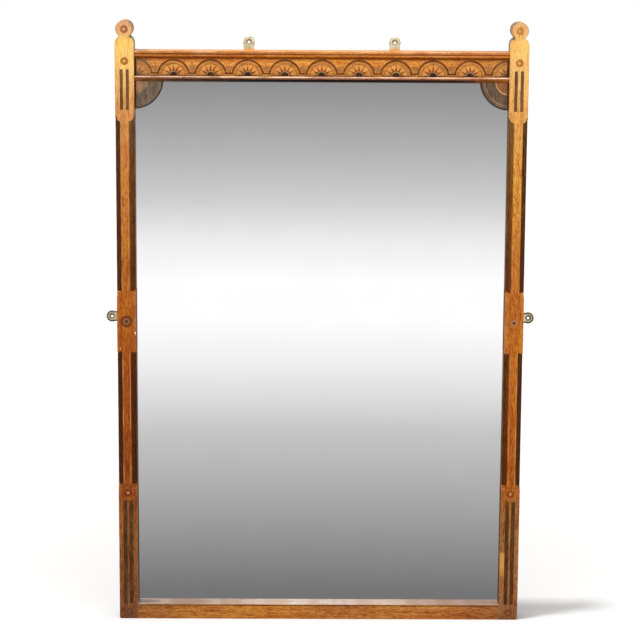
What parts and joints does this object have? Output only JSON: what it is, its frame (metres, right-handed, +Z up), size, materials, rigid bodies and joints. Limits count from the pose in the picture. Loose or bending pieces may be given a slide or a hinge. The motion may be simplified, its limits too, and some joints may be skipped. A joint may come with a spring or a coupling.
{
  "type": "wall mirror",
  "caption": "Rectangular wall mirror in an inlaid oak frame with round finials, a frieze of fans, corner brackets and brass hanging plates",
  "frame": {"origin": "on the wall plane, at the middle of the frame's width and height", "axes": "+Z up, the mirror faces -Y, +Y points into the wall, +X to the viewer's right"},
  "size_m": [0.8798, 0.0463, 1.242],
  "materials": {
    "oak_post": "waxed, golden at the top and brown at the foot",
    "oak_rail": "waxed oak",
    "oak_moulding": "waxed oak with worn arrises",
    "dark_slip": "ebonised",
    "dark_inlay": "dark stained hardwood",
    "pale_inlay": "pale fruitwood",
    "tan_inlay": "greyed tan wood",
    "petal_inlay": "golden wood",
    "brown_inlay": "brown stained wood",
    "bracket_wood": "grey brown wood",
    "heart_inlay": "reddish brown wood",
    "silvered_glass": "silvered plate glass",
    "pine_block": "sawn pine",
    "pine_board": "planed pine, unfinished and darkened",
    "peg_oak": "end grain oak",
    "brass": "aged brass",
    "brass_screw": "aged brass",
    "steel_screw": "dull steel"
  },
  "bodies": {
    "root": {"left_post": "oak_post", "right_post": "oak_post", "top_rail": "oak_rail", "bottom_rail": "oak_rail", "cornice_moulding": "oak_moulding", "frieze_bead": "oak_moulding", "sight_slip": "dark_slip", "frieze_arch_lines": "dark_inlay", "frieze_arch_bands": "tan_inlay", "frieze_fan_grounds": "brown_inlay", "frieze_petals": "petal_inlay", "frieze_hub_rims": "pale_inlay", "frieze_hubs": "dark_inlay", "frieze_ties": "dark_inlay", "frieze_spray_dots": "dark_inlay", "frieze_sprays": "brown_inlay", "bracket_edge_lines": "dark_inlay", "bracket_tan_lines": "tan_inlay", "bracket_rings": "pale_inlay", "bracket_hearts": "heart_inlay", "bracket_petals": "brown_inlay", "end_strips": "dark_inlay", "mirror_glass": "silvered_glass", "glazing_blocks": "pine_block", "back_board_screws": "steel_screw", "joint_pegs": "peg_oak", "top_plate_left": "brass", "top_plate_right": "brass", "side_plate_left": "brass", "side_plate_right": "brass", "plate_screws": "brass_screw", "back_board_1": "pine_board", "back_board_2": "pine_board", "back_board_3": "pine_board", "back_board_4": "pine_board", "back_board_5": "pine_board", "left_ring_inlays": "dark_inlay", "left_ring_eyes": "pale_inlay", "left_middle_band": "pale_inlay", "left_middle_dot": "dark_inlay", "left_upper_bars": "dark_inlay", "left_lower_bars": "dark_inlay", "left_bracket": "bracket_wood", "right_ring_inlays": "dark_inlay", "right_ring_eyes": "pale_inlay", "right_middle_band": "pale_inlay", "right_middle_dot": "dark_inlay", "right_upper_bars": "dark_inlay", "right_lower_bars": "dark_inlay", "right_bracket": "bracket_wood"}
  },
  "joints": []
}
